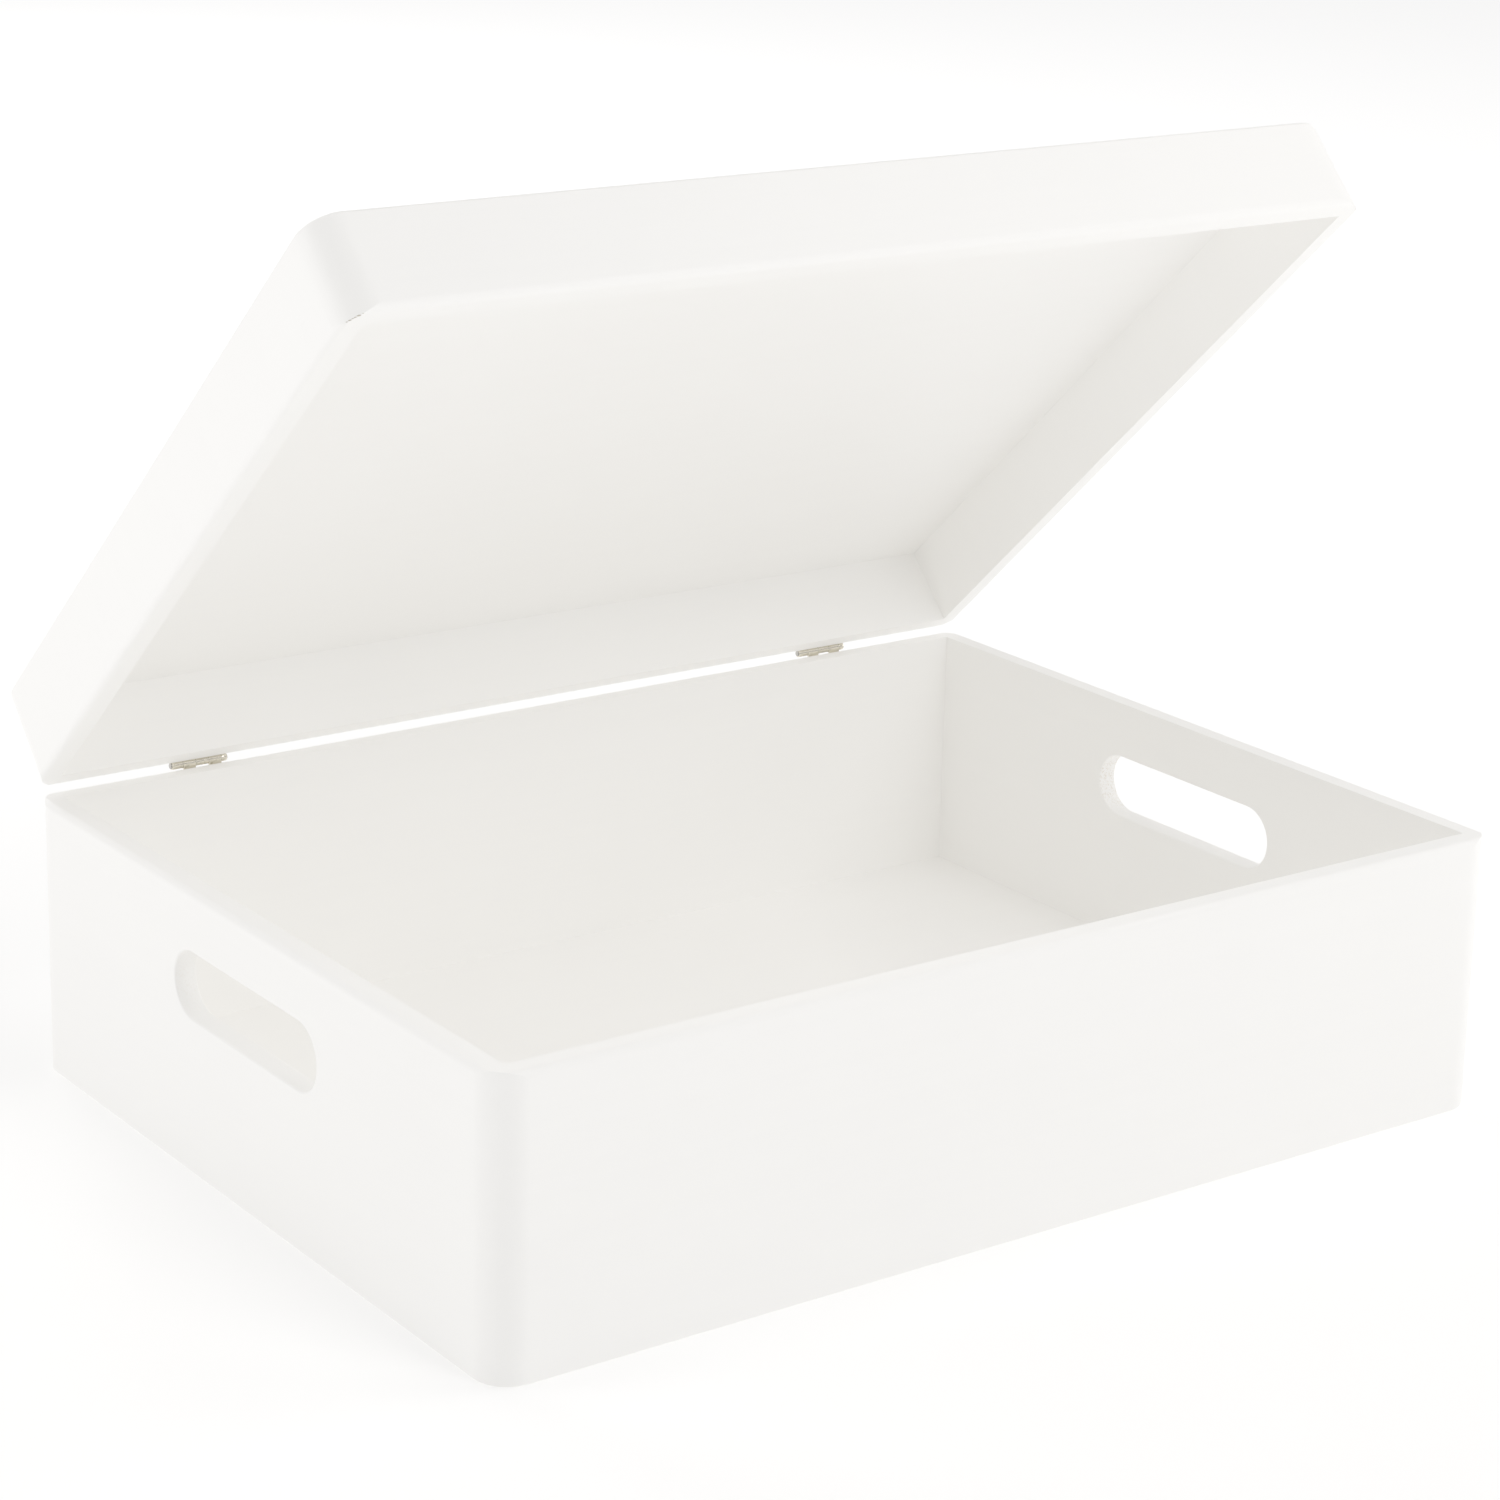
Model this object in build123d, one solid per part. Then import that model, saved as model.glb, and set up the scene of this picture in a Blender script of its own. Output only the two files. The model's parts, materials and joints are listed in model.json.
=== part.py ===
from build123d import *
import math
import os

# A white painted wooden keepsake box with a deep hinged lid, shown with its lid part open.
# All lengths are in millimetres and all angles in degrees.
# X runs along the box's length, Y from its front to its back and Z up.
# The origin is the middle of the base's underside, and the front faces -Y.

# Overall sizes of the closed box
box_length = 400.0
box_width = 300.0
base_height = 98.4
lid_height = 34.4
seam_gap = 0.4

# Boards and panels
wall_thickness = 8.0
floor_thickness = 6.0
top_thickness = 4.0
panel_seat = 3.5
corner_tongue = 4.0
glue_gap = 0.05

# Rounded edges
corner_radius = 12.0
rim_radius = 2.5
foot_radius = 1.0
top_radius = 1.5

# Hand slots through the two end walls
slot_length = 93.0
slot_height = 23.0
slot_centre_height = 66.0
slot_edge_radius = 0.8
cutter_margin = 20.0

# Butt hinges on the back of the box
hinge_inset = 64.0
knuckle_widths = [4.1, 4.9, 4.9, 4.9, 2.1]
knuckle_play = 0.12
barrel_radius = 1.45
pin_radius = 0.65
pin_clearance = 0.05
pin_head_radius = 1.05
pin_head_height = 0.35
pin_head_rounding = 0.21
pivot_behind_wall = 1.5
pivot_above_rim = 0.8
leaf_thickness = 0.8
leaf_start = 2.0
leaf_reach = 11.5
leaf_corner_radius = 1.0
neck_low_angle = -70.0
neck_high_angle = -170.0

# Countersunk screws that hold the hinges, two in each leaf
screw_spacing = 12.4
screw_drop = 7.4
screw_core_radius = 0.9
screw_head_radius = 1.7
screw_head_rim = 0.2
screw_length = 7.0
screw_tip_length = 1.6
screw_clearance = 0.05
recess_width = 0.55
recess_span = 1.9
recess_depth = 0.5

# How far a cutting shape reaches past what it cuts, and how close two places count as one
overshoot = 1.0
tolerance = 0.001

# How far the lid stands open, measured from closed
lid_open_angle = 42.9

# Sizes that follow from those above
lid_low = base_height + seam_gap
lid_top = lid_low + lid_height
inner_length = box_length - 2 * wall_thickness
inner_width = box_width - 2 * wall_thickness
pivot_y = box_width / 2 + pivot_behind_wall
pivot_z = base_height + pivot_above_rim
hinge_length = sum(knuckle_widths) + knuckle_play * (len(knuckle_widths) - 1)
hinge_centres = {"left": -(box_length / 2 - hinge_inset), "right": box_length / 2 - hinge_inset}


def block(x0, x1, y0, y1, z0, z1):
    """A plain box given by its six faces."""
    size = Box(x1 - x0, y1 - y0, z1 - z0)
    return Pos((x0 + x1) / 2, (y0 + y1) / 2, (z0 + z1) / 2) * size


def shell_blank(low, high, rim_z, end_z, end_radius):
    """A solid block as large as the base or the lid, with its outer edges rounded.

    The rim's edges are rounded while the corners are still square, and the upright
    corners are rounded afterwards, so the rim's rounding runs out in each corner.
    """
    half_x = box_length / 2
    half_y = box_width / 2
    body = block(-half_x, half_x, -half_y, half_y, low, high)
    rim_edges = [edge for edge in body.edges() if abs(edge.center().Z - rim_z) < tolerance]
    body = fillet(rim_edges, rim_radius)
    outline = Pos(0, 0, low) * RectangleRounded(box_length, box_width, corner_radius)
    column = extrude(outline, amount=high - low)
    end_edges = [edge for edge in column.edges() if abs(edge.center().Z - end_z) < tolerance]
    column = fillet(end_edges, end_radius)
    return body & column


def inside_room(low, high):
    """The room inside the four walls, cut a little past both ends."""
    half_x = inner_length / 2
    half_y = inner_width / 2
    return block(-half_x, half_x, -half_y, half_y, low - overshoot, high + overshoot)


def panel_room(low, high, clearance):
    """The room of a panel let into the four walls, with a clearance at its edges."""
    half_x = inner_length / 2 + panel_seat + clearance
    half_y = inner_width / 2 + panel_seat + clearance
    return block(-half_x, half_x, -half_y, half_y, low, high)


def long_board_room(side, low, high):
    """The room of a front or back board, stepped at both ends to take the end boards."""
    half_x = box_length / 2
    half_y = box_width / 2
    shoulder = inner_length / 2 - glue_gap
    room = block(-half_x, half_x, half_y - wall_thickness, half_y, low, high)
    for x0, x1 in ((-half_x, -shoulder), (shoulder, half_x)):
        room -= block(x0, x1, half_y - wall_thickness, half_y - corner_tongue, low, high)
    if side < 0:
        room = Rot(0, 0, 180) * room
    return room


def end_board_room(side, low, high):
    """The room of an end board, which sits between the tongues of the long boards."""
    half_y = box_width / 2 - corner_tongue - glue_gap
    room = block(inner_length / 2, box_length / 2, -half_y, half_y, low, high)
    if side < 0:
        room = Rot(0, 0, 180) * room
    return room


def hand_slot_cutter(side):
    """The shape cut from an end wall for its hand slot, flared at both faces."""
    middle_x = side * (box_length - wall_thickness) / 2
    place = Pos(middle_x, 0, slot_centre_height) * Rot(0, 90, 0) * Rot(0, 0, 90)
    half = wall_thickness / 2
    straight = extrude(SlotOverall(slot_length, slot_height), amount=half, both=True)
    wall_length = slot_length + 2 * cutter_margin
    wall_height = slot_height + 2 * cutter_margin
    wall = Box(wall_length, wall_height, wall_thickness) - straight
    rims = []
    for edge in wall.edges():
        middle = edge.center()
        inside = abs(middle.X) < slot_length / 2 + tolerance and abs(middle.Y) < slot_height / 2 + tolerance
        if inside and abs(abs(middle.Z) - half) < tolerance:
            rims.append(edge)
    wall = fillet(rims, slot_edge_radius)
    cutter = Box(wall_length - cutter_margin, wall_height - cutter_margin, wall_thickness) - wall
    return place * cutter


def screw_spots():
    """The X places of all hinge screws, and for each screw the side of its hinge."""
    spots = []
    for name, centre in hinge_centres.items():
        for step in (-0.5, 0.5):
            spots.append((name, centre + step * screw_spacing))
    return spots


def screw_hole(x, z):
    """A pilot hole for a hinge screw in the back of a wall."""
    depth = screw_length - leaf_thickness + screw_clearance
    radius = screw_core_radius + screw_clearance
    hole = Cylinder(radius, depth, align=(Align.CENTER, Align.CENTER, Align.MIN))
    return Pos(x, box_width / 2, z) * Rot(90, 0, 0) * hole


def base_boards():
    """The four walls of the base, each let into its neighbours."""
    blank = shell_blank(0, base_height, base_height, 0, foot_radius)
    blank -= inside_room(0, base_height)
    blank -= panel_room(-overshoot, floor_thickness + glue_gap, glue_gap)
    boards = {
        "base_front_wall": blank & long_board_room(-1, 0, base_height),
        "base_back_wall": blank & long_board_room(1, 0, base_height),
        "base_left_wall": blank & end_board_room(-1, 0, base_height),
        "base_right_wall": blank & end_board_room(1, 0, base_height),
    }
    boards["base_left_wall"] -= hand_slot_cutter(-1)
    boards["base_right_wall"] -= hand_slot_cutter(1)
    for _, x in screw_spots():
        boards["base_back_wall"] -= screw_hole(x, pivot_z - screw_drop)
    return boards


def lid_boards():
    """The four rails of the lid in its closed place."""
    blank = shell_blank(lid_low, lid_top, lid_low, lid_top, top_radius)
    blank -= inside_room(lid_low, lid_top)
    blank -= panel_room(lid_top - top_thickness - glue_gap, lid_top + overshoot, glue_gap)
    rails = {
        "lid_front_rail": blank & long_board_room(-1, lid_low, lid_top),
        "lid_back_rail": blank & long_board_room(1, lid_low, lid_top),
        "lid_left_rail": blank & end_board_room(-1, lid_low, lid_top),
        "lid_right_rail": blank & end_board_room(1, lid_low, lid_top),
    }
    for _, x in screw_spots():
        rails["lid_back_rail"] -= screw_hole(x, pivot_z + screw_drop)
    return rails


def knuckle_spans():
    """The ends of each knuckle along the pin, from the middle of the hinge."""
    spans = []
    start = -hinge_length / 2
    for width in knuckle_widths:
        spans.append((start, start + width))
        start += width + knuckle_play
    return spans


def on_barrel(angle):
    """A place on the barrel's outside, as its Y and Z from the pin's line."""
    turn = math.radians(angle)
    return barrel_radius * math.cos(turn), barrel_radius * math.sin(turn)


def knuckle(x0, x1, side):
    """One rolled knuckle with the neck that joins it to its leaf, round the pin's line.

    side is -1 for the base's leaf, which hangs down, and 1 for the lid's leaf.
    """
    wall = -pivot_behind_wall
    face = wall + leaf_thickness
    barrel = Cylinder(barrel_radius, x1 - x0, rotation=(0, 90, 0))
    corners = [
        (wall, -leaf_start),
        (face, -leaf_start),
        on_barrel(neck_low_angle),
        on_barrel(neck_high_angle),
    ]
    corners = [(y, -side * z) for y, z in corners]
    neck_face = Plane.YZ * make_face(Polyline(corners, close=True))
    neck = Pos(-(x1 - x0) / 2, 0, 0) * extrude(neck_face, amount=x1 - x0, dir=(1, 0, 0))
    bore = Cylinder(pin_radius + pin_clearance, x1 - x0 + overshoot, rotation=(0, 90, 0))
    return Pos((x0 + x1) / 2, 0, 0) * (barrel + neck - bore)


def hinge_leaf(side, owned):
    """A hinge leaf with its knuckles and two countersunk holes, round the pin's line."""
    wall = -pivot_behind_wall
    height = leaf_reach - leaf_start
    plate = Box(hinge_length, leaf_thickness, height)
    outer = [e for e in plate.edges().filter_by(Axis.Y) if side * e.center().Z > 0]
    plate = fillet(outer, leaf_corner_radius)
    plate = Pos(0, wall + leaf_thickness / 2, side * (leaf_start + height / 2)) * plate
    for number, (x0, x1) in enumerate(knuckle_spans()):
        if number in owned:
            plate += knuckle(x0, x1, side)
    for step in (-0.5, 0.5):
        hole = screw_shape(screw_clearance, False)
        spot = Pos(step * screw_spacing, wall + leaf_thickness, side * screw_drop)
        plate -= spot * Rot(90, 0, 0) * hole
    return plate


def screw_shape(clearance, pointed):
    """A countersunk screw along Z, its head's flat face at the origin and its tip towards +Z."""
    core = screw_core_radius + clearance
    head = screw_head_radius + clearance
    rim = screw_head_rim + clearance
    cone = leaf_thickness - rim
    points = [(0, 0), (head, 0), (head, rim), (core, rim + cone)]
    if pointed:
        points += [(core, screw_length - screw_tip_length), (0, screw_length)]
    else:
        points += [(core, screw_length), (0, screw_length)]
    profile = Plane.XZ * make_face(Polyline(points, close=True))
    return revolve(profile, Axis.Z)


def hinge_screws(side):
    """The two screws of one leaf, round the pin's line, each with a cross recess."""
    screws = []
    long_arm = Box(recess_span, recess_width, recess_depth * 2)
    cross_arm = Box(recess_width, recess_span, recess_depth * 2)
    shape = screw_shape(0, True) - (long_arm + cross_arm)
    for step in (-0.5, 0.5):
        spot = Pos(step * screw_spacing, leaf_thickness - pivot_behind_wall, side * screw_drop)
        screws.append(spot * Rot(90, 0, 0) * shape)
    return Compound(children=screws)


def hinge_pin():
    """A pin through all the knuckles with a small round head at each end."""
    pin = Cylinder(pin_radius, hinge_length + 2 * knuckle_play, rotation=(0, 90, 0))
    for end in (-1, 1):
        disc = Cylinder(pin_head_radius, pin_head_height, rotation=(0, 90, 0))
        outer_edge = disc.edges().sort_by(Axis.X)[-1 if end > 0 else 0]
        disc = fillet(outer_edge, pin_head_rounding)
        pin += Pos(end * (hinge_length / 2 + knuckle_play + pin_head_height / 2), 0, 0) * disc
    return pin


def build_base():
    """All pieces that stay still with the base."""
    pieces = base_boards()
    pieces["base_floor"] = panel_room(0, floor_thickness, 0)
    for name, x in hinge_centres.items():
        place = Pos(x, pivot_y, pivot_z)
        pieces[name + "_hinge_base_leaf"] = place * hinge_leaf(-1, (1, 3))
        pieces[name + "_hinge_base_screws"] = place * hinge_screws(-1)
    return pieces


def build_lid():
    """All pieces that turn with the lid, in their closed places."""
    pieces = lid_boards()
    pieces["lid_top_panel"] = panel_room(lid_top - top_thickness, lid_top, 0)
    for name, x in hinge_centres.items():
        place = Pos(x, pivot_y, pivot_z)
        pieces[name + "_hinge_lid_leaf"] = place * hinge_leaf(1, (0, 2, 4))
        pieces[name + "_hinge_lid_screws"] = place * hinge_screws(1)
        pieces[name + "_hinge_pin"] = place * hinge_pin()
    return pieces


def opened(shape):
    """Turns a closed lid piece about the hinge pins to the lid's open place."""
    return Pos(0, pivot_y, pivot_z) * Rot(-lid_open_angle, 0, 0) * Pos(0, -pivot_y, -pivot_z) * shape


parts = build_base()
for node, piece in build_lid().items():
    parts[node] = opened(piece)

os.makedirs("parts", exist_ok=True)
for node, piece in parts.items():
    export_step(piece, "parts/" + node + ".step")
    print(node, round(piece.volume, 2))
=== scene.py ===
import json
import math
import bpy
from mathutils import Matrix, Vector


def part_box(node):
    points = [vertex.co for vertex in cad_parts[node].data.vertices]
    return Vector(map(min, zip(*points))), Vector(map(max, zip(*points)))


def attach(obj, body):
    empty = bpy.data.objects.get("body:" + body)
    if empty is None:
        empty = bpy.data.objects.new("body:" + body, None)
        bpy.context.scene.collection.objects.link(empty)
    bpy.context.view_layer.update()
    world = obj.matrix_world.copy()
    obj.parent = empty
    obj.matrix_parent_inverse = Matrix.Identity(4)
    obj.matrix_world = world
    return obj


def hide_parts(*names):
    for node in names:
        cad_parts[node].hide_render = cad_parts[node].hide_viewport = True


# A white painted wooden keepsake box with its deep lid standing open, on a plain pale floor.
# Lengths are in metres; MM turns a size in millimetres into metres.
# X runs along the box, Y from its front to its back and Z up.

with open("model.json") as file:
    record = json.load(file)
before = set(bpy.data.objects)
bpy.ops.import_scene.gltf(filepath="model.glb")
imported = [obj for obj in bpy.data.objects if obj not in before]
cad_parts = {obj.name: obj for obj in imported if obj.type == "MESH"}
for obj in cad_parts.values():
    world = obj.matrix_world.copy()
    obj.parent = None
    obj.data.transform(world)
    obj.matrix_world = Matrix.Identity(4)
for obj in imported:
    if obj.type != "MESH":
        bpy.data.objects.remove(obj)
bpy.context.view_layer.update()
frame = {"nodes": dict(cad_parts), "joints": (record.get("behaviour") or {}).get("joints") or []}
scene = bpy.context.scene

MM = 0.001

# Sizes of the boards. Paint closes each glue joint to a gap too fine to see.
WALL = 8 * MM
TONGUE = 4 * MM
PANEL_SEAT = 3.5 * MM
GLUE_GAP = 0.01 * MM
CORNER_RADIUS = 12 * MM
RIM_RADIUS = 2.5 * MM
FOOT_RADIUS = 1.0 * MM
TOP_RADIUS = 1.5 * MM
PANEL_EDGE = 0.3 * MM
OVERSHOOT = 5 * MM

# Steps that a rounded edge is divided into
RIM_STEPS = 10
CORNER_STEPS = 36
END_STEPS = 6
PANEL_STEPS = 3
SLOT_EDGE_STEPS = 5
LEAF_CORNER_STEPS = 8
PIN_HEAD_STEPS = 4

# Sizes of the hand slots
SLOT_LENGTH = 93 * MM
SLOT_HEIGHT = 23 * MM
SLOT_MIDDLE = 66 * MM
SLOT_EDGE = 0.8 * MM
# Just under half the height, so that the two roundings at an end stay apart
SLOT_END_RADIUS = SLOT_HEIGHT * 0.4999
SLOT_END_STEPS = 24
# The rim and the cut face lie within these shares of the slot's length and height.
SLOT_RIM_SHARE = 0.6
SLOT_FACE_SHARE = 0.55

# Sizes of the hinges, round the line of their pins
KNUCKLES = [4.1 * MM, 4.9 * MM, 4.9 * MM, 4.9 * MM, 2.1 * MM]
KNUCKLE_PLAY = 0.12 * MM
LEAF = 0.8 * MM
LEAF_START = 2.0 * MM
LEAF_REACH = 11.5 * MM
LEAF_CORNER = 1.0 * MM
LEAF_BURR = 0.13 * MM
PIN_RADIUS = 0.65 * MM
PIN_HEAD_RADIUS = 1.05 * MM
PIN_HEAD_HEIGHT = 0.35 * MM
PIN_HEAD_ROUNDING = PIN_HEAD_HEIGHT * 0.7
ROLL_ANGLE = math.radians(288)
ROLL_STEPS = 36

# Sizes of the countersunk screws
SCREW_SPACING = 12.4 * MM
SCREW_PLACES = (-SCREW_SPACING / 2, SCREW_SPACING / 2)
SCREW_DROP = 7.4 * MM
SCREW_CORE = 0.9 * MM
SCREW_HEAD = 1.7 * MM
SCREW_HEAD_RIM = 0.2 * MM
SCREW_LENGTH = 7.0 * MM
SCREW_TIP = 1.6 * MM
SCREW_CLEARANCE = 0.05 * MM
RECESS_WIDTH = 0.55 * MM
RECESS_SPAN = 1.9 * MM
RECESS_DEPTH = 0.5 * MM
RECESS_NARROWING = 0.62
SCREW_BURR = 0.05 * MM
SCREW_TIP_NARROWING = 0.12

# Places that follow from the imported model
hinge = frame["joints"][0]
pivot = Vector(hinge["pos_m"])
opening = -math.radians(hinge["range_deg"][0])
lid_turn = Matrix.Rotation(opening, 4, Vector(hinge["axis"]))
lid_turn = Matrix.Translation(pivot) @ lid_turn @ Matrix.Translation(-pivot)


def closed_box(node):
    """The lowest and highest corner of a lid node with the lid shut."""
    shut = lid_turn.inverted()
    spots = [shut @ corner.co for corner in frame["nodes"][node].data.vertices]
    low = Vector([min(spot[axis] for spot in spots) for axis in range(3)])
    high = Vector([max(spot[axis] for spot in spots) for axis in range(3)])
    return low, high


half_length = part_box("base_right_wall")[1].x
half_width, base_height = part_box("base_back_wall")[1].yz
lid_bottom = closed_box("lid_left_rail")[0].z
lid_top = closed_box("lid_left_rail")[1].z
base_low = Vector((-half_length, -half_width, 0))
base_high = Vector((half_length, half_width, base_height))
lid_low = Vector((-half_length, -half_width, lid_bottom))
lid_high = Vector((half_length, half_width, lid_top))


# Modelling helpers

def only(piece):
    """Selects one object and makes it the active one."""
    bpy.ops.object.select_all(action="DESELECT")
    piece.select_set(True)
    bpy.context.view_layer.objects.active = piece


def settle(piece):
    """Puts a piece's place, turn and size into its mesh."""
    only(piece)
    bpy.ops.object.transform_apply(location=True, rotation=True, scale=True)
    return piece


def block(name, low, high):
    """A block between two corners."""
    bpy.ops.object.select_all(action="DESELECT")
    low, high = Vector(low), Vector(high)
    bpy.ops.mesh.primitive_cube_add(size=1, location=(low + high) / 2)
    piece = bpy.context.object
    piece.name = name
    piece.scale = high - low
    return settle(piece)


def rod(name, radius, start, end, axis, corners=48):
    """A round rod along an axis, from one place to another on it."""
    turns = {"X": (0, math.pi / 2, 0), "Y": (-math.pi / 2, 0, 0), "Z": (0, 0, 0)}
    start, end = Vector(start), Vector(end)
    bpy.ops.object.select_all(action="DESELECT")
    bpy.ops.mesh.primitive_cylinder_add(
        vertices=corners, radius=radius, depth=(end - start).length,
        location=(start + end) / 2, rotation=turns[axis])
    piece = bpy.context.object
    piece.name = name
    return settle(piece)


def twin(piece, name):
    """A copy of a piece with its own mesh."""
    only(piece)
    bpy.ops.object.duplicate()
    copied = bpy.context.object
    copied.name = name
    return copied


def select_edges(piece, wanted):
    """Leaves edit mode open with only the edges selected whose two ends pass the test."""
    only(piece)
    bpy.ops.object.mode_set(mode="EDIT")
    bpy.ops.mesh.select_mode(type="EDGE")
    bpy.ops.mesh.select_all(action="DESELECT")
    bpy.ops.object.mode_set(mode="OBJECT")
    spots = piece.data.vertices
    for edge in piece.data.edges:
        edge.select = wanted(spots[edge.vertices[0]].co, spots[edge.vertices[1]].co)
    bpy.ops.object.mode_set(mode="EDIT")


def round_edges(piece, wanted, radius, segments):
    """Rounds the edges that pass the test."""
    select_edges(piece, wanted)
    bpy.ops.mesh.bevel(offset=radius, segments=segments, profile=0.5, affect="EDGES")
    bpy.ops.object.mode_set(mode="OBJECT")


def apply_modifier(piece, kind, **settings):
    """Adds a modifier with its settings and applies it."""
    modifier = piece.modifiers.new(kind.lower(), kind)
    for name, value in settings.items():
        setattr(modifier, name, value)
    only(piece)
    bpy.ops.object.modifier_apply(modifier=modifier.name)


def combine(piece, other, how):
    """Cuts, joins or trims a piece with another, which is used up."""
    apply_modifier(piece, "BOOLEAN", operation=how, object=other, solver="EXACT")
    bpy.data.objects.remove(other)
    return piece


def near(a, b, tolerance=0.02 * MM):
    """Whether two measures are the same, to a tolerance."""
    return abs(a - b) < tolerance


# Faces that meet at less than this angle in degrees are shaded as one rounded surface.
WOOD_ANGLE = 35
METAL_ANGLE = 40

# A face that leans less than this, as the Z of its normal, counts as upright.
UPRIGHT = 0.02


def smooth(piece, angle=WOOD_ANGLE, is_crest=None):
    """Smooth shading on rounded edges, with flat faces kept flat and crests kept sharp."""
    only(piece)
    bpy.ops.object.shade_smooth_by_angle(angle=math.radians(angle))
    if is_crest:
        leaning = {}
        for face in piece.data.polygons:
            for key in face.edge_keys:
                leaning.setdefault(key, set()).add(abs(face.normal.z) > UPRIGHT)
        spots = piece.data.vertices
        for edge in piece.data.edges:
            borders = len(leaning[tuple(sorted(edge.vertices))]) == 2
            if borders and all(is_crest(spots[number].co) for number in edge.vertices):
                edge.use_edge_sharp = True
    apply_modifier(piece, "WEIGHTED_NORMAL", keep_sharp=True, weight=50)


def finish(piece, node, body, slot, material):
    """Turns a lid piece open, and lets the piece stand for its CAD node."""
    if body == "lid":
        piece.matrix_world = lid_turn
        settle(piece)
    if piece.data.materials:
        piece.data.materials[0] = material
    else:
        piece.data.materials.append(material)
    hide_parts(node)
    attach(piece, body)
    return piece


# Materials

def linear(hex_colour):
    """A linear colour from an sRGB hex value."""
    channels = [int(hex_colour[i:i + 2], 16) / 255 for i in (1, 3, 5)]
    return [c / 12.92 if c <= 0.04045 else ((c + 0.055) / 1.055) ** 2.4 for c in channels] + [1]


def add(tree, kind, inputs=None, **settings):
    """Adds a node with its settings, and links or sets its inputs."""
    node = tree.nodes.new(kind)
    for name, value in settings.items():
        setattr(node, name, value)
    for socket, value in (inputs or {}).items():
        if isinstance(value, bpy.types.NodeSocket):
            tree.links.new(value, node.inputs[socket])
        else:
            node.inputs[socket].default_value = value
    return node


def new_material(name):
    """A material with an empty node tree and an output."""
    material = bpy.data.materials.new(name)
    material.use_nodes = True
    material.node_tree.nodes.clear()
    output = material.node_tree.nodes.new("ShaderNodeOutputMaterial")
    return material, material.node_tree, output


def colour_stops(node, stops):
    """Sets a colour ramp's stops as place and colour."""
    ramp = node.color_ramp
    while len(ramp.elements) > len(stops):
        ramp.elements.remove(ramp.elements[-1])
    for number, (place, colour) in enumerate(stops):
        element = ramp.elements[number] if number < len(ramp.elements) else ramp.elements.new(place)
        element.position = place
        element.color = linear(colour)


# Grain of the boards: pores are short and narrow, rings long and wider. Real pores and brush
# marks are finer, and are drawn as coarse as they need to show.
PORE_ACROSS = 0.6 * MM
PORE_ALONG = 14 * MM
RING_ACROSS = 5 * MM
RING_ALONG = 260 * MM
BRUSH_ACROSS = 0.55 * MM
BRUSH_ALONG = 30 * MM
ROLLER_GRAIN = 1.1 * MM
PATCH = 70 * MM
PAINT_DEPTH = 0.12 * MM
PAINT_IOR = 1.47


def painted_wood(name, turn, light, dark, rough, relief):
    """Water-based satin paint over a planed softwood board.

    It shows as a soft off-white with a low sheen. The grain under the paint only shows as
    faint long ridges, and the film is a little thicker and thinner in broad patches.
    turn brings the pattern's own X to the run of the grain.
    """
    material, tree, output = new_material(name)
    place = add(tree, "ShaderNodeTexCoord")

    def grain(along, across, detail):
        scale = (1 / along, 1 / across, 1 / across)
        mapped = add(tree, "ShaderNodeMapping", {
            "Vector": place.outputs["Object"], "Rotation": turn})
        stretched = add(tree, "ShaderNodeMapping", {"Vector": mapped.outputs[0], "Scale": scale})
        return add(tree, "ShaderNodeTexNoise", {
            "Vector": stretched.outputs[0], "Scale": 1, "Detail": detail, "Roughness": 0.55})

    def with_share(pattern, share, rest):
        """A share of a pattern, added to the rest."""
        return add(tree, "ShaderNodeMath", {
            0: pattern.outputs["Fac"], 1: share, 2: rest}, operation="MULTIPLY_ADD").outputs[0]

    pores = grain(PORE_ALONG, PORE_ACROSS, 2)
    rings = grain(RING_ALONG, RING_ACROSS, 2)
    brush = grain(BRUSH_ALONG, BRUSH_ACROSS, 1)
    patches = grain(PATCH, PATCH, 3)
    roller = grain(ROLLER_GRAIN, ROLLER_GRAIN, 2)

    tone = with_share(patches, 0.6, 0.2)
    tone = with_share(rings, 0.3, tone)
    tone = with_share(pores, 0.25, tone)
    colour = add(tree, "ShaderNodeValToRGB", {"Fac": tone})
    colour_stops(colour, [(0.45, dark), (0.85, light)])

    height = with_share(pores, 0.8, rings.outputs["Fac"])
    height = with_share(brush, 0.5, height)
    height = with_share(roller, 0.4, height)
    bump = add(tree, "ShaderNodeBump", {
        "Height": height, "Strength": relief, "Distance": PAINT_DEPTH})
    sheen = add(tree, "ShaderNodeMapRange", {
        "Value": roller.outputs["Fac"], "From Min": 0.3, "From Max": 0.7,
        "To Min": rough - 0.04, "To Max": rough + 0.05})
    paint = add(tree, "ShaderNodeBsdfPrincipled", {
        "Base Color": colour.outputs["Color"], "Roughness": sheen.outputs[0],
        "Normal": bump.outputs[0], "IOR": PAINT_IOR})
    tree.links.new(paint.outputs[0], output.inputs["Surface"])
    return material


# Real end grain is finer, and is drawn as coarse as it needs to show.
END_GRAIN = 0.7 * MM


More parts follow.
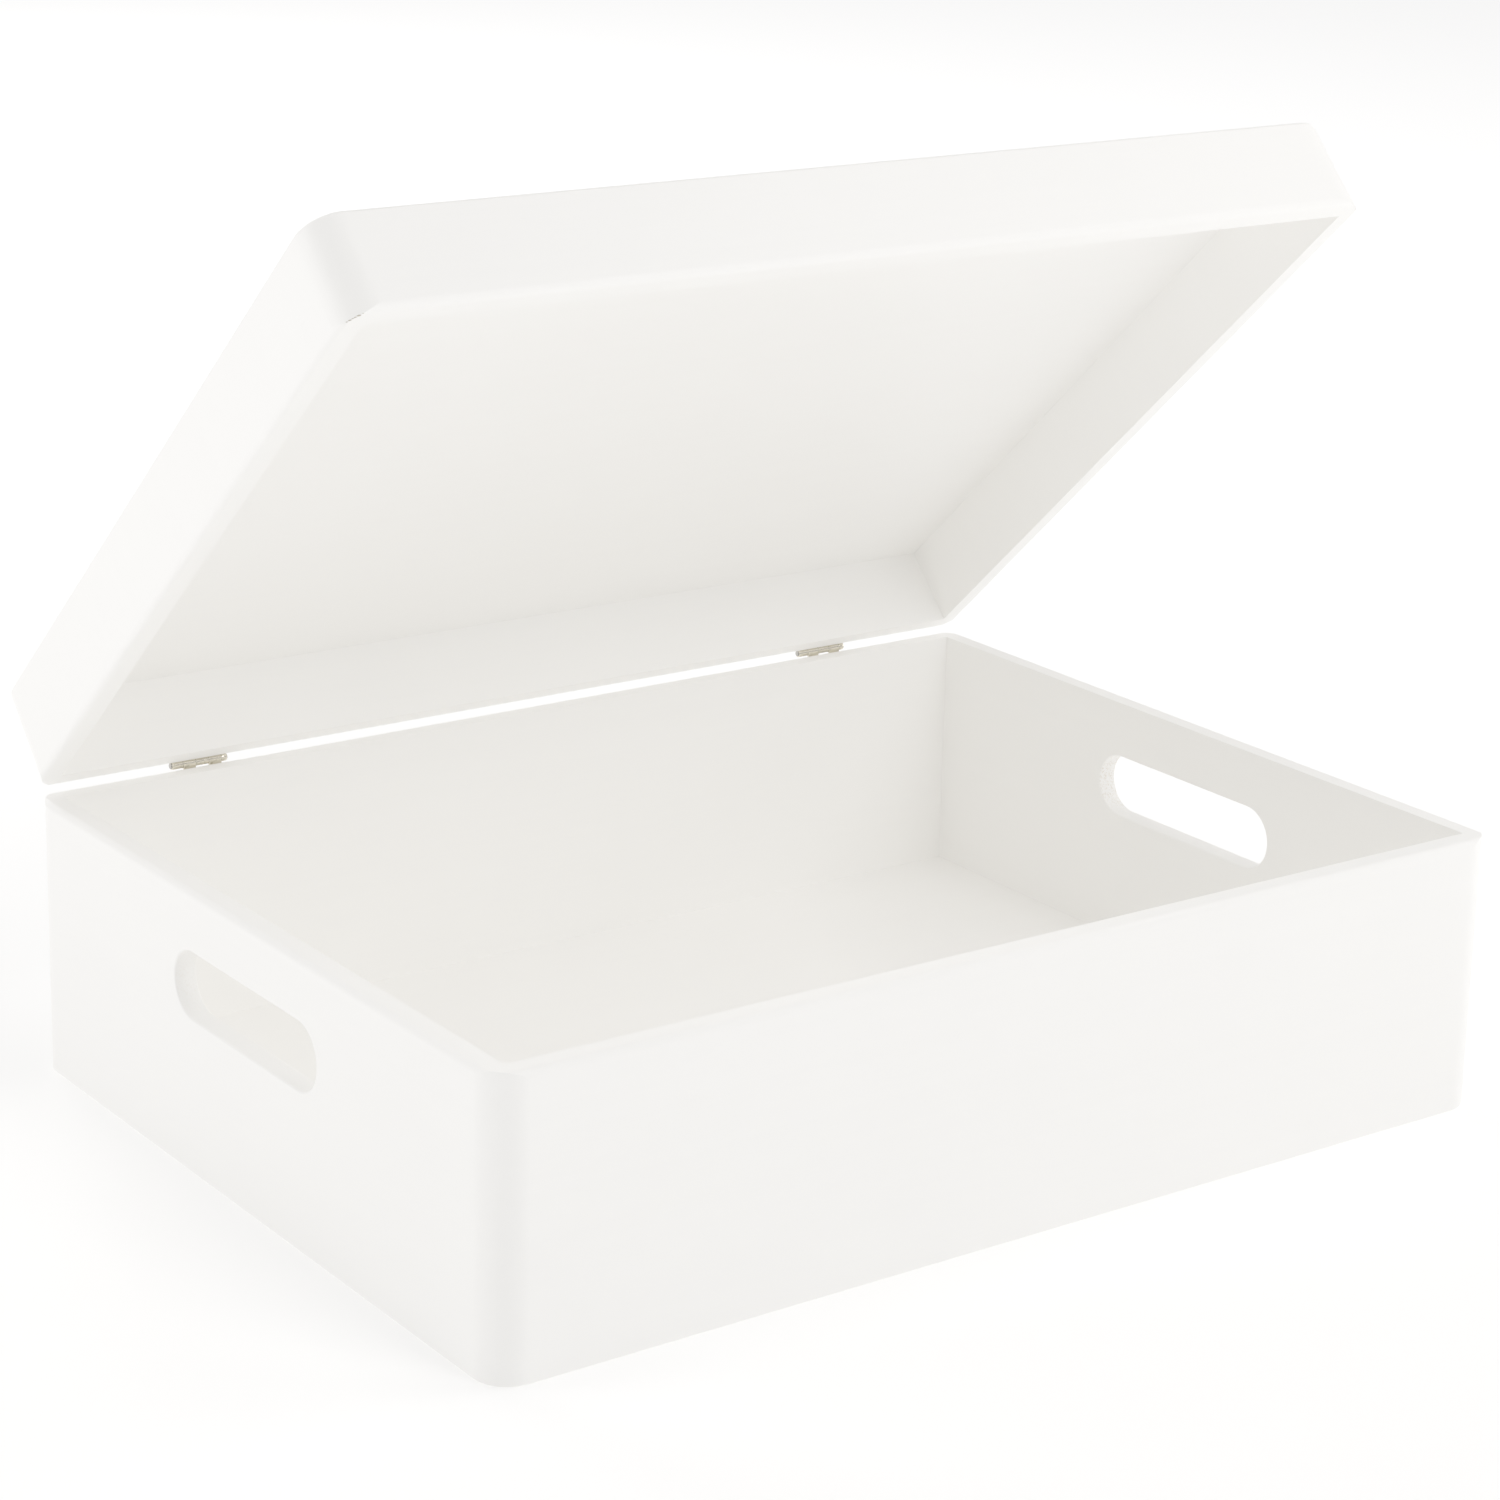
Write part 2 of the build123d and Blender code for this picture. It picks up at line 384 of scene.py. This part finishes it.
def sawn_wood(name, bareness):
    """Thin paint on the sawn inside of a hand slot.

    Along the grain it is nearly as smooth as the faces. On the rear end, where the saw
    crosses the grain, open pores drink the paint and show as small brownish specks, the more
    so the barer the end was left.
    """
    material, tree, output = new_material(name)
    place = add(tree, "ShaderNodeTexCoord")
    facing = add(tree, "ShaderNodeSeparateXYZ", {"Vector": place.outputs["Normal"]})
    end_on = add(tree, "ShaderNodeMath", {
        0: facing.outputs["Y"], 1: -bareness}, operation="MULTIPLY", use_clamp=True)
    specks = add(tree, "ShaderNodeTexNoise", {
        "Vector": place.outputs["Object"], "Scale": 1 / END_GRAIN, "Detail": 3, "Roughness": 0.7})
    open_pores = add(tree, "ShaderNodeMapRange", {
        "Value": specks.outputs["Fac"], "From Min": 0.5, "From Max": 0.64,
        "To Min": 0.0, "To Max": 1.0})
    shown = add(tree, "ShaderNodeMath", {
        0: open_pores.outputs[0], 1: end_on.outputs[0]}, operation="MULTIPLY")
    colour = add(tree, "ShaderNodeValToRGB", {"Fac": shown.outputs[0]})
    colour_stops(colour, [(0.0, "#F6F5F2"), (0.5, "#E2DBCE"), (1.0, "#C3B59D")])
    bump = add(tree, "ShaderNodeBump", {
        "Height": specks.outputs["Fac"], "Strength": 0.5, "Distance": 0.3 * MM})
    paint = add(tree, "ShaderNodeBsdfPrincipled", {
        "Base Color": colour.outputs["Color"], "Roughness": 0.62,
        "Normal": bump.outputs[0], "IOR": PAINT_IOR})
    tree.links.new(paint.outputs[0], output.inputs["Surface"])
    return material


def chipped_wood(name):
    """Bare pine where a flake of paint has come off a sharp corner, a dull straw brown."""
    material, tree, output = new_material(name)
    place = add(tree, "ShaderNodeTexCoord")
    fibres = add(tree, "ShaderNodeTexNoise", {
        "Vector": place.outputs["Object"], "Scale": 1 / END_GRAIN, "Detail": 3})
    colour = add(tree, "ShaderNodeValToRGB", {"Fac": fibres.outputs["Fac"]})
    colour_stops(colour, [(0.35, "#A2967F"), (0.65, "#C9BFAB")])
    bump = add(tree, "ShaderNodeBump", {
        "Height": fibres.outputs["Fac"], "Strength": 0.6, "Distance": 0.2 * MM})
    wood = add(tree, "ShaderNodeBsdfPrincipled", {
        "Base Color": colour.outputs["Color"], "Roughness": 0.75, "Normal": bump.outputs[0]})
    tree.links.new(wood.outputs[0], output.inputs["Surface"])
    return material


# Real scratches are finer, and are drawn as coarse as they need to show.
SCRATCH_ACROSS = 0.12 * MM
SCRATCH_ALONG = 4 * MM
SCRATCH_DEPTH = 0.01 * MM
TARNISH = 1.6 * MM


def plated_metal(name, light, dark, rough, relief):
    """Bright nickel plate on pressed steel.

    It is a warm bright metal with fine scratches along the strip and a few dull, browner
    spots where the plate is thin.
    """
    material, tree, output = new_material(name)
    place = add(tree, "ShaderNodeTexCoord")
    stretched = add(tree, "ShaderNodeMapping", {
        "Vector": place.outputs["Object"],
        "Scale": (1 / SCRATCH_ALONG, 1 / SCRATCH_ACROSS, 1 / SCRATCH_ACROSS)})
    scratches = add(tree, "ShaderNodeTexNoise", {
        "Vector": stretched.outputs[0], "Scale": 1, "Detail": 2})
    tarnish = add(tree, "ShaderNodeTexNoise", {
        "Vector": place.outputs["Object"], "Scale": 1 / TARNISH, "Detail": 4})
    colour = add(tree, "ShaderNodeValToRGB", {"Fac": tarnish.outputs["Fac"]})
    colour_stops(colour, [(0.25, dark), (0.44, light)])
    dulled = add(tree, "ShaderNodeMapRange", {
        "Value": tarnish.outputs["Fac"], "From Min": 0.35, "From Max": 0.6,
        "To Min": rough + 0.1, "To Max": rough})
    bump = add(tree, "ShaderNodeBump", {
        "Height": scratches.outputs["Fac"], "Strength": relief, "Distance": SCRATCH_DEPTH})
    metal = add(tree, "ShaderNodeBsdfPrincipled", {
        "Base Color": colour.outputs["Color"], "Roughness": dulled.outputs[0],
        "Metallic": 1.0, "Normal": bump.outputs[0]})
    tree.links.new(metal.outputs[0], output.inputs["Surface"])
    return material


along_x = (0, 0, 0)
along_y = (0, 0, math.radians(90))
along_lid = (-opening, 0, math.radians(90))

# Light and dark colour, roughness and relief of the paint on boards and on panels
BOARD_PAINT = ("#F8F7F4", "#F5F4F1", 0.42, 0.25)
PANEL_PAINT = ("#F7F6F3", "#F5F3F0", 0.48, 0.2)

paint_long = painted_wood("satin_paint_on_long_boards", along_x, *BOARD_PAINT)
paint_end = painted_wood("satin_paint_on_end_walls", along_y, *BOARD_PAINT)
paint_lid_end = painted_wood("satin_paint_on_lid_ends", along_lid, *BOARD_PAINT)
paint_panel = painted_wood("satin_paint_on_panels", along_x, *PANEL_PAINT)
paint_cut = {
    -1: sawn_wood("thin_paint_on_left_slot", 0.15),
    1: sawn_wood("thin_paint_on_right_slot", 0.75),
}
bare_wood = chipped_wood("bare_pine_in_chips")
hinge_metal = plated_metal("bright_nickel_plate", "#DED5BD", "#9A8F75", 0.1, 0.12)
screw_metal = plated_metal("zinc_plated_screw_steel", "#B3AFA6", "#8F897E", 0.28, 0.3)
pin_metal = plated_metal("drawn_pin_steel", "#8A867E", "#6B665D", 0.25, 0.3)


# Boards

def rounded_blank(name, low, high, rim_z, end_z, end_radius):
    """A solid block as large as the base or the lid, with its outer edges rounded.

    The rim is rounded while the corners are square, and the upright corners afterwards,
    so the rim's rounding runs out in each corner.
    """
    body = block(name, low, high)
    round_edges(body, lambda a, b: near(a.z, rim_z) and near(b.z, rim_z), RIM_RADIUS, RIM_STEPS)
    column = block("column", low, high)
    round_edges(column, lambda a, b: near(a.x, b.x) and near(a.y, b.y), CORNER_RADIUS, CORNER_STEPS)
    round_edges(column, lambda a, b: near(a.z, end_z) and near(b.z, end_z), end_radius, END_STEPS)
    return combine(body, column, "INTERSECT")


# A flake is wide and thin, and it comes off at a slant.
FLAKE_SHAPE = (1.5, 1.5, 0.55)
FLAKE_LEAN = 0.3
FLAKE_TILT = 0.4


def chip_corner(blank, side_x, side_y, rim_z, upward, chips):
    """Knocks small flakes off the sharp crest where the rim meets a rounded corner.

    Each chip is its place round the corner in degrees from the end board's side, and its size.
    upward is 1 where the rim faces down and -1 where it faces up.
    """
    axis_x = side_x * (half_length - CORNER_RADIUS)
    axis_y = side_y * (half_width - CORNER_RADIUS)
    for degrees, size in chips:
        around = math.radians(degrees)
        reach = Vector((math.cos(around), math.sin(around))) * CORNER_RADIUS
        deepest = max(0, max(reach) - (CORNER_RADIUS - RIM_RADIUS))
        rise = RIM_RADIUS - math.sqrt(RIM_RADIUS ** 2 - deepest ** 2)
        spot = (axis_x + side_x * reach.x, axis_y + side_y * reach.y, rim_z + upward * rise)
        bpy.ops.object.select_all(action="DESELECT")
        bpy.ops.mesh.primitive_ico_sphere_add(subdivisions=2, radius=size, location=spot)
        flake = bpy.context.object
        flake.scale = FLAKE_SHAPE
        flake.rotation_euler = (FLAKE_LEAN, FLAKE_TILT * side_x, around * side_x * side_y)
        settle(flake)
        flake.data.materials.append(bare_wood)
        apply_modifier(
            blank, "BOOLEAN", operation="DIFFERENCE", object=flake, solver="EXACT",
            material_mode="TRANSFER")
        bpy.data.objects.remove(flake)


def hollow(blank, low, high, panel_low, panel_high):
    """Takes the inside and the panel's seat out of a blank."""
    inner = Vector((half_length - WALL, half_width - WALL, 0))
    seat = inner + Vector((1, 1, 0)) * (PANEL_SEAT + GLUE_GAP)
    for reach, z0, z1 in ((inner, low - OVERSHOOT, high + OVERSHOOT), (seat, panel_low, panel_high)):
        room = block("room", (-reach.x, -reach.y, z0), (reach.x, reach.y, z1))
        combine(blank, room, "DIFFERENCE")
    return blank


def long_board(blank, name, side, low, high):
    """A front or back board, stepped at both ends for the end boards."""
    inner = half_width - WALL
    shoulder = half_length - WALL - GLUE_GAP
    edges = sorted((side * inner, side * (half_width + OVERSHOOT)))
    reach = half_length + OVERSHOOT
    board = twin(blank, name)
    room = block("room", (-reach, edges[0], low - OVERSHOOT), (reach, edges[1], high + OVERSHOOT))
    combine(board, room, "INTERSECT")
    step = sorted((side * (inner - OVERSHOOT), side * (half_width - TONGUE)))
    for x0, x1 in ((-reach, -shoulder), (shoulder, reach)):
        room = block("step", (x0, step[0], low - OVERSHOOT), (x1, step[1], high + OVERSHOOT))
        combine(board, room, "DIFFERENCE")
    return board


def end_board(blank, name, side, low, high):
    """An end board, which sits between the tongues of the long boards."""
    reach = half_width - TONGUE - GLUE_GAP
    edges = sorted((side * (half_length - WALL), side * (half_length + OVERSHOOT)))
    board = twin(blank, name)
    room = block("room", (edges[0], -reach, low - OVERSHOOT), (edges[1], reach, high + OVERSHOOT))
    return combine(board, room, "INTERSECT")


def by_slot(spot, share):
    """Whether a place lies within a share of the hand slot's length and height from its middle."""
    return abs(spot.y) < SLOT_LENGTH * share and abs(spot.z - SLOT_MIDDLE) < SLOT_HEIGHT * share


def cut_hand_slot(board, side):
    """Cuts the hand slot through an end wall and rounds its edges at both faces."""
    middle = side * (half_length - WALL / 2)
    reach = Vector((WALL, SLOT_LENGTH / 2, SLOT_HEIGHT / 2))
    centre = Vector((middle, 0, SLOT_MIDDLE))
    cutter = block("slot", centre - reach, centre + reach)
    round_edges(
        cutter, lambda a, b: near(a.y, b.y) and near(a.z, b.z), SLOT_END_RADIUS, SLOT_END_STEPS)
    combine(board, cutter, "DIFFERENCE")

    def on_slot_rim(a, b):
        level = near(a.x, b.x) and near(abs(abs(a.x) - half_length + WALL / 2), WALL / 2)
        return level and by_slot(a, SLOT_RIM_SHARE) and by_slot(b, SLOT_RIM_SHARE)

    round_edges(board, on_slot_rim, SLOT_EDGE, SLOT_EDGE_STEPS)


def smooth_board(board, rim_z):
    """Smooths a board, but keeps the crest where the rim's rounding runs out in a corner."""
    def on_crest(spot):
        past_x = abs(spot.x) > half_length - CORNER_RADIUS
        past_y = abs(spot.y) > half_width - CORNER_RADIUS
        return past_x and past_y and near(spot.z, rim_z, RIM_RADIUS)

    smooth(board, is_crest=on_crest)


def drill_screw_holes(board, z):
    """Drills the pilot holes for the hinge screws into a board's back."""
    for centre in hinge_centres.values():
        for place in SCREW_PLACES:
            x = centre + place
            start = (x, half_width + OVERSHOOT, z)
            end = (x, half_width - SCREW_LENGTH + LEAF - SCREW_CLEARANCE, z)
            hole = rod("hole", SCREW_CORE + SCREW_CLEARANCE, start, end, "Y", corners=24)
            combine(board, hole, "DIFFERENCE")


def sawn_faces(board, material):
    """Gives the cut face round a hand slot its own thinner paint."""
    board.data.materials.append(material)
    for face in board.data.polygons:
        beside = abs(abs(face.center.x) - half_length + WALL / 2) < WALL / 2 - SLOT_EDGE * 0.5
        if beside and by_slot(face.center, SLOT_FACE_SHARE):
            face.material_index = 1


# Chips in the lid's lower corners, most of them at its front left
LID_CHIPS = {
    (-1, -1): [
        (33, 0.3 * MM), (38, 0.42 * MM), (43, 0.3 * MM),
        (47, 0.34 * MM), (52.5, 0.5 * MM), (59, 0.22 * MM)],
    (1, -1): [(40, 0.3 * MM), (50, 0.24 * MM)],
    (1, 1): [(46, 0.26 * MM)],
}

hinge_centres = {}
for hand in ("left", "right"):
    leaf_low, leaf_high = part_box(hand + "_hinge_base_leaf")
    hinge_centres[hand] = (leaf_low.x + leaf_high.x) / 2


def make_base():
    """The base's four walls and its floor."""
    low, high = base_low.z, base_high.z
    blank = rounded_blank("base_blank", base_low, base_high, high, low, FOOT_RADIUS)
    floor_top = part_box("base_floor")[1].z
    hollow(blank, low, high, low - OVERSHOOT, floor_top + GLUE_GAP)
    for name, side in (("base_front_wall", -1), ("base_back_wall", 1)):
        board = long_board(blank, name + "_painted", side, low, high)
        if side > 0:
            drill_screw_holes(board, pivot.z - SCREW_DROP)
        smooth_board(board, high)
        finish(board, name, "base", "painted_board", paint_long)
    for name, side in (("base_left_wall", -1), ("base_right_wall", 1)):
        board = end_board(blank, name + "_painted", side, low, high)
        cut_hand_slot(board, side)
        smooth_board(board, high)
        finish(board, name, "base", "painted_board", paint_end)
        sawn_faces(board, paint_cut[side])
    bpy.data.objects.remove(blank)
    make_panel("base_floor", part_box("base_floor"), "base")


def make_lid():
    """The lid's four rails and its top panel, modelled shut and then turned open."""
    low, high = lid_low.z, lid_high.z
    blank = rounded_blank("lid_blank", lid_low, lid_high, low, high, TOP_RADIUS)
    panel_low = closed_box("lid_top_panel")[0].z
    blank.data.materials.append(paint_long)
    for (side_x, side_y), chips in LID_CHIPS.items():
        chip_corner(blank, side_x, side_y, low, 1, chips)
    hollow(blank, low, high, panel_low - GLUE_GAP, high + OVERSHOOT)
    for name, side in (("lid_front_rail", -1), ("lid_back_rail", 1)):
        board = long_board(blank, name + "_painted", side, low, high)
        if side > 0:
            drill_screw_holes(board, pivot.z + SCREW_DROP)
        smooth_board(board, low)
        finish(board, name, "lid", "painted_board", paint_long)
    for name, side in (("lid_left_rail", -1), ("lid_right_rail", 1)):
        board = end_board(blank, name + "_painted", side, low, high)
        smooth_board(board, low)
        finish(board, name, "lid", "painted_board", paint_lid_end)
    bpy.data.objects.remove(blank)
    make_panel("lid_top_panel", closed_box("lid_top_panel"), "lid")


def make_panel(node, corners, body):
    """A flat panel with softened edges."""
    panel = block(node + "_painted", *corners)
    round_edges(panel, lambda a, b: True, PANEL_EDGE, PANEL_STEPS)
    smooth(panel)
    finish(panel, node, body, "painted_panel", paint_panel)


# Hinges

def knuckle_spans():
    """The ends of each knuckle along the pin, from the middle of the hinge."""
    length = sum(KNUCKLES) + KNUCKLE_PLAY * (len(KNUCKLES) - 1)
    spans = []
    start = -length / 2
    for width in KNUCKLES:
        spans.append((start, start + width))
        start += width + KNUCKLE_PLAY
    return spans


def make_leaf(name, side, owned):
    """A pressed leaf with its knuckles rolled round the pin, about the pin's line.

    side is -1 for the leaf on the base, which hangs down, and 1 for the leaf on the lid.
    """
    spans = knuckle_spans()
    wall = half_width - pivot.y
    half = spans[-1][1]
    ends = sorted((side * LEAF_START, side * LEAF_REACH))
    leaf = block(name, (-half, wall, ends[0]), (half, wall + LEAF, ends[1]))
    tip = side * LEAF_REACH
    round_edges(
        leaf, lambda a, b: near(a.x, b.x) and near(a.z, tip) and near(b.z, tip),
        LEAF_CORNER, LEAF_CORNER_STEPS)
    cuts = [x for number in owned for x in spans[number] if abs(x) < half - 0.01 * MM]
    bpy.ops.object.mode_set(mode="EDIT")
    for x in cuts:
        bpy.ops.mesh.select_all(action="SELECT")
        bpy.ops.mesh.bisect(plane_co=(x, 0, 0), plane_no=(1, 0, 0))
    bpy.ops.mesh.select_mode(type="FACE")
    bpy.ops.mesh.select_all(action="DESELECT")
    bpy.ops.object.mode_set(mode="OBJECT")
    for face in leaf.data.polygons:
        on_edge = near(face.center.z, side * LEAF_START) and abs(face.normal.z) > 0.9
        face.select = on_edge and any(spans[n][0] < face.center.x < spans[n][1] for n in owned)
    bpy.ops.object.mode_set(mode="EDIT")
    bpy.ops.mesh.extrude_region_move(TRANSFORM_OT_translate={"value": (0, 0, -side * LEAF_START)})
    bpy.ops.mesh.spin(steps=ROLL_STEPS, angle=ROLL_ANGLE, center=(0, 0, 0), axis=(-side, 0, 0))
    bpy.ops.mesh.select_all(action="SELECT")
    bpy.ops.mesh.remove_doubles(threshold=0.001 * MM)
    bpy.ops.mesh.normals_make_consistent(inside=False)
    bpy.ops.object.mode_set(mode="OBJECT")
    for place in SCREW_PLACES:
        spot = Vector((place, wall + LEAF, side * SCREW_DROP))
        combine(leaf, screw_body("sink", spot, SCREW_CLEARANCE, False), "DIFFERENCE")
    apply_modifier(
        leaf, "BEVEL", width=LEAF_BURR, segments=2, limit_method="ANGLE",
        angle_limit=math.radians(50))
    smooth(leaf, METAL_ANGLE)
    return leaf


def screw_body(name, spot, clearance, pointed):
    """A countersunk screw with its head's flat face at a spot and its tip towards -Y."""
    core = SCREW_CORE + clearance
    head = SCREW_HEAD + clearance
    rim = SCREW_HEAD_RIM + clearance
    shank_end = SCREW_LENGTH - (SCREW_TIP if pointed else 0)
    # The cutter for a screw's seat starts a little above the leaf.
    above = 0 if pointed else clearance * 4
    screw = rod(name, head, spot + Vector((0, above, 0)), spot - Vector((0, rim, 0)), "Y")
    bpy.ops.object.mode_set(mode="EDIT")
    bpy.ops.mesh.select_mode(type="FACE")
    bpy.ops.mesh.select_all(action="DESELECT")
    bpy.ops.object.mode_set(mode="OBJECT")
    for face in screw.data.polygons:
        face.select = near(face.center.y, spot.y - rim) and len(face.vertices) > 4
    bpy.ops.object.mode_set(mode="EDIT")
    steps = [(core / head, LEAF - rim), (1, shank_end - LEAF)]
    if pointed:
        steps.append((SCREW_TIP_NARROWING, SCREW_TIP))
    for narrowing, advance in steps:
        bpy.ops.mesh.extrude_region_move(TRANSFORM_OT_translate={"value": (0, -advance, 0)})
        bpy.ops.transform.resize(value=(narrowing, 1, narrowing), center_override=spot)
    bpy.ops.object.mode_set(mode="OBJECT")
    return screw


def make_screws(name, side):
    """The two screws of one leaf, each with a cross recess that narrows inwards."""
    wall = half_width - pivot.y
    screws = []
    for place in SCREW_PLACES:
        spot = Vector((place, wall + LEAF, side * SCREW_DROP))
        screw = screw_body(name, spot, 0, True)
        for across in (Vector((RECESS_SPAN, 0, RECESS_WIDTH)), Vector((RECESS_WIDTH, 0, RECESS_SPAN))):
            depth = Vector((0, RECESS_DEPTH, 0))
            slot = block("slot", spot - across / 2 - depth, spot + across / 2 + depth)
            for corner in slot.data.vertices:
                if corner.co.y < spot.y:
                    corner.co = spot + (corner.co - spot) * RECESS_NARROWING
                    corner.co.y = spot.y - RECESS_DEPTH
            combine(screw, slot, "DIFFERENCE")
        apply_modifier(
            screw, "BEVEL", width=SCREW_BURR, segments=2, limit_method="ANGLE",
            angle_limit=math.radians(60))
        screws.append(screw)
    bpy.ops.object.select_all(action="DESELECT")
    for screw in screws:
        screw.select_set(True)
    bpy.context.view_layer.objects.active = screws[0]
    bpy.ops.object.join()
    smooth(screws[0], METAL_ANGLE)
    return screws[0]


def make_pin(name):
    """A hinge pin with a small domed head at each end."""
    reach = knuckle_spans()[-1][1] + KNUCKLE_PLAY
    pin = rod(name, PIN_RADIUS, (-reach, 0, 0), (reach, 0, 0), "X", corners=32)
    for end in (-1, 1):
        places = sorted((end * reach, end * (reach + PIN_HEAD_HEIGHT)))
        head = rod(
            "head", PIN_HEAD_RADIUS, (places[0], 0, 0), (places[1], 0, 0), "X", corners=32)
        outer = end * (reach + PIN_HEAD_HEIGHT)
        round_edges(
            head, lambda a, b: near(a.x, outer) and near(b.x, outer),
            PIN_HEAD_ROUNDING, PIN_HEAD_STEPS)
        combine(pin, head, "UNION")
    smooth(pin, METAL_ANGLE)
    return pin


def make_hinges():
    """Both hinges: two leaves, four screws and a pin each."""
    for hand, centre in hinge_centres.items():
        place = Vector((centre, pivot.y, pivot.z))
        nickel = ("hinge_nickel", hinge_metal)
        steel = ("screw_steel", screw_metal)
        base_leaf = make_leaf(hand + "_base_leaf_plated", -1, (1, 3))
        lid_leaf = make_leaf(hand + "_lid_leaf_plated", 1, (0, 2, 4))
        base_screws = make_screws(hand + "_base_screws_plated", -1)
        lid_screws = make_screws(hand + "_lid_screws_plated", 1)
        pin = make_pin(hand + "_pin_drawn")
        made = [
            (base_leaf, "_hinge_base_leaf", "base", nickel),
            (lid_leaf, "_hinge_lid_leaf", "lid", nickel),
            (base_screws, "_hinge_base_screws", "base", steel),
            (lid_screws, "_hinge_lid_screws", "lid", steel),
            (pin, "_hinge_pin", "lid", ("pin_steel", pin_metal)),
        ]
        for piece, ending, body, metal in made:
            piece.location = place
            settle(piece)
            finish(piece, hand + ending, body, *metal)


make_base()
make_lid()
make_hinges()


# Floor, light and camera

FLOOR_WIDTH = 24
# The floor lies just under the box.
FLOOR_DROP = 0.05 * MM
FLOOR_GRAINS_PER_METRE = 900
# Painted light: the floor glows, rising from the first strength to the second between these two
# distances from the middle of the box, so that it stays white where the lamps' light falls off.
FLOOR_PAINTED_GLOW = (0.2, 0.55)
PAINTED_GLOW_REACH = (0.35, 1.0)

# Light goes back and forth many times between the white walls of an open white box.
LIGHT_BOUNCES = 14
ROOM_LIGHT = 0.215
PRINT_GAMMA = 2.2
WARM_WHITE = (1.0, 0.985, 0.965)
LIGHT_AIM = Vector((0, 0, 0.15))

# Each soft box's bearing from +X towards +Y, its height above the floor's level, its distance,
# its width and its watts
SOFT_BOXES = {
    "left_rear_soft_box": (150, 15, 3, 1.6, 12),
    "right_soft_box": (0, 20, 3, 1.6, 3),
    "rear_soft_box": (90, 25, 3, 1.6, 24),
    "top_soft_box": (0, 89, 3, 1.6, 18),
    "low_right_panel": (343, 8.4, 1.38, 0.7, 3.6),
    "low_left_panel": (153.4, 14.6, 1.39, 0.7, 3.0),
    "high_front_panel": (282, 38.8, 1.84, 0.7, 7.6),
    "high_right_panel": (329, 42, 1.57, 0.7, 3.8),
}


def make_floor():
    """A wide plain floor in matt white with a painted glow, weaker near the box and stronger away from
    it.
    """
    bpy.ops.object.select_all(action="DESELECT")
    bpy.ops.mesh.primitive_plane_add(size=FLOOR_WIDTH, location=(0, 0, -FLOOR_DROP))
    floor = bpy.context.object
    floor.name = "studio_floor"
    material, tree, output = new_material("matt_white_studio_floor_with_painted_glow")
    place = add(tree, "ShaderNodeTexCoord")
    grain = add(tree, "ShaderNodeTexNoise", {
        "Vector": place.outputs["Object"], "Scale": FLOOR_GRAINS_PER_METRE, "Detail": 2})
    tone = add(tree, "ShaderNodeValToRGB", {"Fac": grain.outputs["Fac"]})
    colour_stops(tone, [(0.3, "#F8F8F8"), (0.7, "#FAFAFA")])
    away = add(tree, "ShaderNodeVectorMath", {0: place.outputs["Object"]}, operation="LENGTH")
    # Painted light: the floor's glow is weak next to the box and grows with the distance from it.
    glow = add(tree, "ShaderNodeMapRange", {
        "Value": away.outputs["Value"], "From Min": PAINTED_GLOW_REACH[0], "From Max": PAINTED_GLOW_REACH[1],
        "To Min": FLOOR_PAINTED_GLOW[0], "To Max": FLOOR_PAINTED_GLOW[1]})
    matt = add(tree, "ShaderNodeBsdfPrincipled", {
        "Base Color": tone.outputs["Color"], "Roughness": 0.9, "Specular IOR Level": 0.2,
        "Emission Color": (1, 1, 1, 1), "Emission Strength": glow.outputs[0]})
    tree.links.new(matt.outputs[0], output.inputs["Surface"])
    floor.data.materials.append(material)


def make_soft_box(name, bearing, height, distance, width, watts):
    """A square soft box that faces the box from a bearing and a height, both in degrees."""
    around = math.radians(bearing)
    above = math.radians(height)
    level = math.cos(above)
    way = Vector((math.cos(around) * level, math.sin(around) * level, math.sin(above)))
    lamp = bpy.data.lights.new(name, "AREA")
    lamp.shape = "SQUARE"
    lamp.size = width
    lamp.energy = watts
    lamp.color = WARM_WHITE
    light = bpy.data.objects.new(name, lamp)
    light.location = LIGHT_AIM + way * distance
    light.rotation_euler = (-way).to_track_quat("-Z", "Y").to_euler()
    light.visible_camera = False
    scene.collection.objects.link(light)


make_floor()
for box_name, box_setting in SOFT_BOXES.items():
    make_soft_box(box_name, *box_setting)

world = bpy.data.worlds.new("white_studio")
scene.world = world
world.use_nodes = True
sky = world.node_tree.nodes["Background"]
sky.inputs["Color"].default_value = (*WARM_WHITE, 1)
sky.inputs["Strength"].default_value = ROOM_LIGHT
scene.view_settings.view_transform = "Standard"
scene.view_settings.look = "None"
scene.view_settings.gamma = PRINT_GAMMA
scene.cycles.max_bounces = LIGHT_BOUNCES
scene.cycles.diffuse_bounces = LIGHT_BOUNCES

# The camera stands at the left front, about as high as one and a half open boxes, and looks
# a little down.
CAMERA_PLACE = Vector((-0.7354, -1.0123, 0.5185))
CAMERA_YAW = math.radians(-35.739)
CAMERA_PITCH = math.radians(-15.672)
CAMERA_ROLL = math.radians(1.248)
SENSOR_WIDTH = 36
FOCAL_LENGTH = 92.652
FRAME_SHIFT = -0.08667

camera_data = bpy.data.cameras.new("studio_camera")
camera_data.sensor_width = SENSOR_WIDTH
camera_data.lens = FOCAL_LENGTH
camera_data.shift_y = FRAME_SHIFT
camera_data.clip_start = 0.05
camera_data.clip_end = 60
camera = bpy.data.objects.new("studio_camera", camera_data)
turn = Matrix.Rotation(CAMERA_YAW, 4, "Z") @ Matrix.Rotation(math.pi / 2 + CAMERA_PITCH, 4, "X")
camera.matrix_world = Matrix.Translation(CAMERA_PLACE) @ turn @ Matrix.Rotation(CAMERA_ROLL, 4, "Z")
scene.collection.objects.link(camera)
scene.camera = camera
